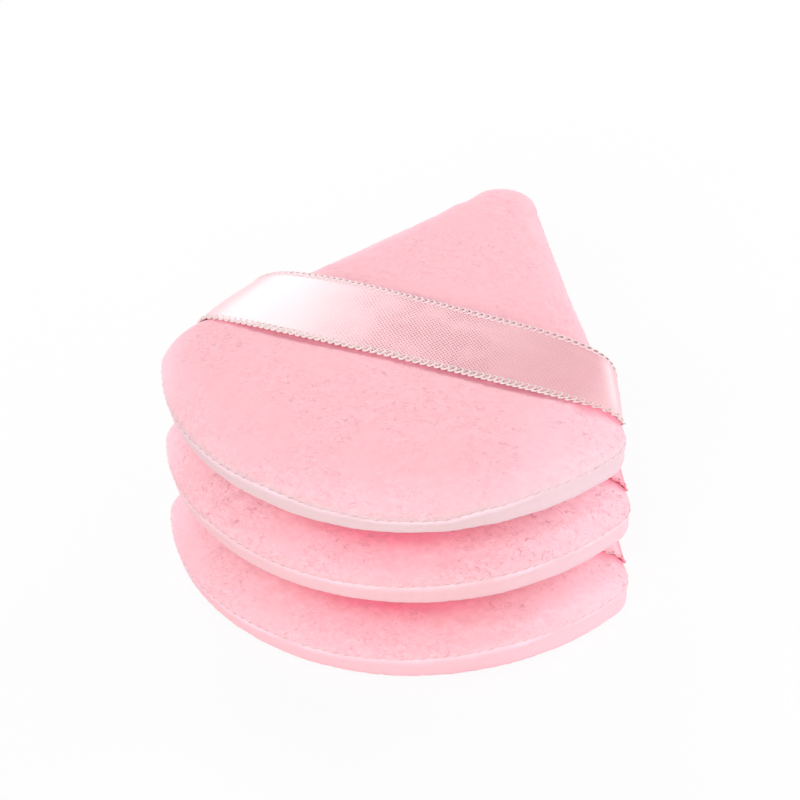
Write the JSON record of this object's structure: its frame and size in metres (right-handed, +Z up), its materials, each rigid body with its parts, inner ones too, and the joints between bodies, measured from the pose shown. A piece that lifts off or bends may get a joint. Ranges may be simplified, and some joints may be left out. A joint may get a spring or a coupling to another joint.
{
  "type": "powder puff",
  "caption": "Stacked rounded-triangle velour powder puffs, each with a foam core between two sewn covers and a satin ribbon across its face for the fingers.",
  "frame": {"origin": "middle of the stack's bounding box, on the surface that the lowest puff rests on", "axes": "+Z up through the stack, +Y towards the rounded points of the puffs, -Y towards their curved fronts, +X to the right seen from the front"},
  "size_m": [0.0714, 0.0762, 0.0388],
  "materials": {
    "velour_face": "matte",
    "velour_base": "matte",
    "foam": "matte",
    "thread": "satin",
    "satin": "satin"
  },
  "bodies": {
    "bottom_puff": {"bottom_upper_cover": "velour_face", "bottom_lower_cover": "velour_base", "bottom_foam_core": "foam", "bottom_seam_thread": "thread", "bottom_finger_ribbon": "satin"},
    "middle_puff": {"middle_upper_cover": "velour_face", "middle_lower_cover": "velour_base", "middle_foam_core": "foam", "middle_seam_thread": "thread", "middle_finger_ribbon": "satin"},
    "top_puff": {"top_upper_cover": "velour_face", "top_lower_cover": "velour_base", "top_foam_core": "foam", "top_seam_thread": "thread"},
    "top_ribbon": {"top_finger_ribbon": "satin"}
  },
  "joints": [
    {"name": "middle_puff_lift", "type": "slide", "parent": "bottom_puff", "child": "middle_puff", "axis": [0, 0, 1], "range_m": [0, 0.06]},
    {"name": "top_puff_lift", "type": "slide", "parent": "middle_puff", "child": "top_puff", "axis": [0, 0, 1], "range_m": [0, 0.06]},
    {"name": "top_ribbon_lift", "type": "slide", "parent": "top_puff", "child": "top_ribbon", "axis": [0, 0, 1], "range_m": [0, 0.008]}
  ]
}
